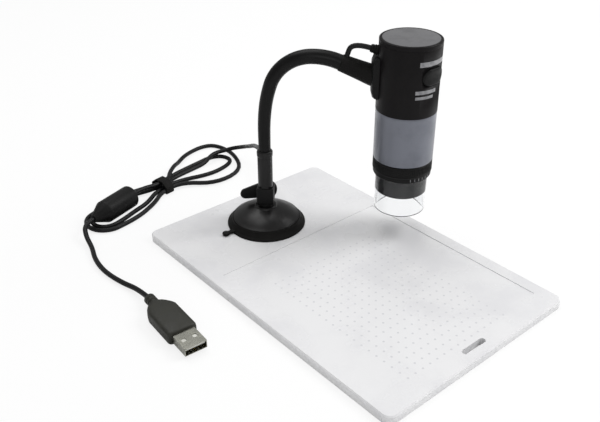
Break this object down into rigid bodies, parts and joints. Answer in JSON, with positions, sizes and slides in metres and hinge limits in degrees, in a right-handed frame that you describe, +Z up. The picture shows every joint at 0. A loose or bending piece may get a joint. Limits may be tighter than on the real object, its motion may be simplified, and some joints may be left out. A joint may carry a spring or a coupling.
{
  "type": "usb digital microscope with gooseneck stand",
  "caption": "Handheld digital microscope on a gooseneck arm with a lever suction cup, standing on an observation plate, with a tied usb cord.",
  "frame": {"origin": "centre of the underside of the observation plate, on the surface it stands on", "axes": "+X across the plate, +Y along the plate towards the suction cup, +Z up"},
  "size_m": [0.1754, 0.2749, 0.1205],
  "materials": {
    "pale_plastic": "fine satin",
    "black_rubber": "matt",
    "gloss_black": "polished",
    "white_tongue": "moulded",
    "bright_steel": "plated",
    "black_plastic": "satin",
    "dark_cable": "satin jacket",
    "neck_skin": "smooth black sleeve over a steel spiral",
    "steel_screw": "zinc plated",
    "smoke_clear": "clear smoked plastic",
    "silver_grip": "metallic satin",
    "black_body": "satin gloss",
    "grey_cap": "satin",
    "glass_lens": "coated",
    "lamp_clear": "clear epoxy",
    "board_green": "solder mask",
    "chip_black": "moulded",
    "wire_colours": "insulated wire",
    "ferrite_grey": "sintered",
    "gold_contact": "gold plated"
  },
  "bodies": {
    "base": {"observation_plate": "pale_plastic", "cup_membrane": "black_rubber", "cup_dome": "gloss_black", "socket_block": "black_plastic", "lower_ferrule": "gloss_black", "cord_arm_run": "dark_cable", "cord_lead": "dark_cable", "cord_hank": "dark_cable", "hank_tie": "black_rubber", "cord_choke_run": "dark_cable", "choke_cover": "black_plastic", "ferrite_bead": "ferrite_grey", "cord_tail": "dark_cable", "plug_overmold": "black_plastic", "plug_shell": "bright_steel", "plug_tongue": "white_tongue", "plug_contacts": "gold_contact"},
    "lever": {"lock_lever": "black_plastic", "cam_shaft": "bright_steel"},
    "stud": {"vacuum_stud": "white_tongue"},
    "neck_0": {"neck_swivel": "neck_skin"},
    "neck_1": {"neck_link_1": "neck_skin"},
    "neck_2": {"neck_link_2": "neck_skin"},
    "neck_3": {"neck_link_3": "neck_skin"},
    "neck_4": {"neck_link_4": "neck_skin"},
    "neck_5": {"neck_link_5": "neck_skin"},
    "head": {"head_sleeve": "black_rubber", "mount_shoe": "black_plastic", "shoe_screws": "steel_screw", "sleeve_screw": "steel_screw", "clear_nose": "smoke_clear", "grip_sleeve": "silver_grip", "inner_frame": "black_plastic", "upper_housing": "black_body", "top_cap": "grey_cap", "lamp_holder": "black_plastic", "lamps": "lamp_clear", "lamp_board": "board_green", "sensor_board": "board_green", "image_sensor": "chip_black", "main_board": "board_green", "board_connector": "white_tongue", "button_switch": "chip_black", "cord_gland": "black_rubber", "cord_head_loop": "dark_cable", "signal_wires": "wire_colours"},
    "ring": {"focus_ring": "black_plastic"},
    "carriage": {"lens_carriage": "black_plastic", "objective_lens": "glass_lens", "rear_lens": "glass_lens"},
    "button": {"snapshot_button": "black_plastic"}
  },
  "joints": [
    {"name": "lever_swing", "type": "hinge", "parent": "base", "child": "lever", "pos_m": [-0.0047, 0.0622, 0.0232], "axis": [0.7071, 0.7071, 0], "range_deg": [0, 90]},
    {"name": "stud_slide", "type": "slide", "parent": "base", "child": "stud", "axis": [0, 0, -1], "range_m": [0, 0.0008], "deforming": ["cup_membrane"]},
    {"name": "neck_turn", "type": "hinge", "parent": "base", "child": "neck_0", "pos_m": [-0.0047, 0.0622, 0.0627], "axis": [0, 0, 1], "range_deg": [-60, 60], "deforming": ["cord_arm_run"]},
    {"name": "neck_bend_1", "type": "hinge", "parent": "neck_0", "child": "neck_1", "pos_m": [-0.0047, 0.0622, 0.0627], "axis": [0.7071, 0.7071, 0], "range_deg": [-15, 1.5], "deforming": ["cord_arm_run"]},
    {"name": "neck_bend_2", "type": "hinge", "parent": "neck_1", "child": "neck_2", "pos_m": [-0.0041, 0.0616, 0.07742], "axis": [0.7071, 0.7071, 0], "range_deg": [-15, 1.5], "deforming": ["cord_arm_run"]},
    {"name": "neck_bend_3", "type": "hinge", "parent": "neck_2", "child": "neck_3", "pos_m": [-0.00188, 0.05938, 0.09181], "axis": [0.7071, 0.7071, 0], "range_deg": [-15, 1.5], "deforming": ["cord_arm_run"]},
    {"name": "neck_bend_4", "type": "hinge", "parent": "neck_3", "child": "neck_4", "pos_m": [0.00408, 0.05342, 0.10363], "axis": [0.7071, 0.7071, 0], "range_deg": [-15, 2], "deforming": ["cord_arm_run"]},
    {"name": "neck_bend_5", "type": "hinge", "parent": "neck_4", "child": "neck_5", "pos_m": [0.01376, 0.04374, 0.10847], "axis": [0.7071, 0.7071, 0], "range_deg": [-15, 2], "deforming": ["cord_arm_run"]},
    {"name": "neck_bend_6", "type": "hinge", "parent": "neck_5", "child": "head", "pos_m": [0.02398, 0.03352, 0.10606], "axis": [0.7071, 0.7071, 0], "range_deg": [-15, 2], "deforming": ["cord_arm_run"]},
    {"name": "focus_turn", "type": "hinge", "parent": "head", "child": "ring", "pos_m": [0.05054, 0.00696, 0.04696], "axis": [0, 0, 1], "range_deg": [-135, 135]},
    {"name": "lens_slide", "type": "slide", "parent": "head", "child": "carriage", "axis": [0, 0, 1], "range_m": [-0.0016, 0.0016]},
    {"name": "button_press", "type": "slide", "parent": "head", "child": "button", "axis": [-0.0523, 0.9986, 0], "range_m": [0, 0.0005], "stiffness_N_per_m": 400, "springref_m": -0.0008}
  ],
  "couplings": [
    {"joint": "lever_swing", "follows": "stud_slide", "rad_per_m": 1963.5},
    {"joint": "focus_turn", "follows": "lens_slide", "rad_per_m": 1472.6}
  ]
}
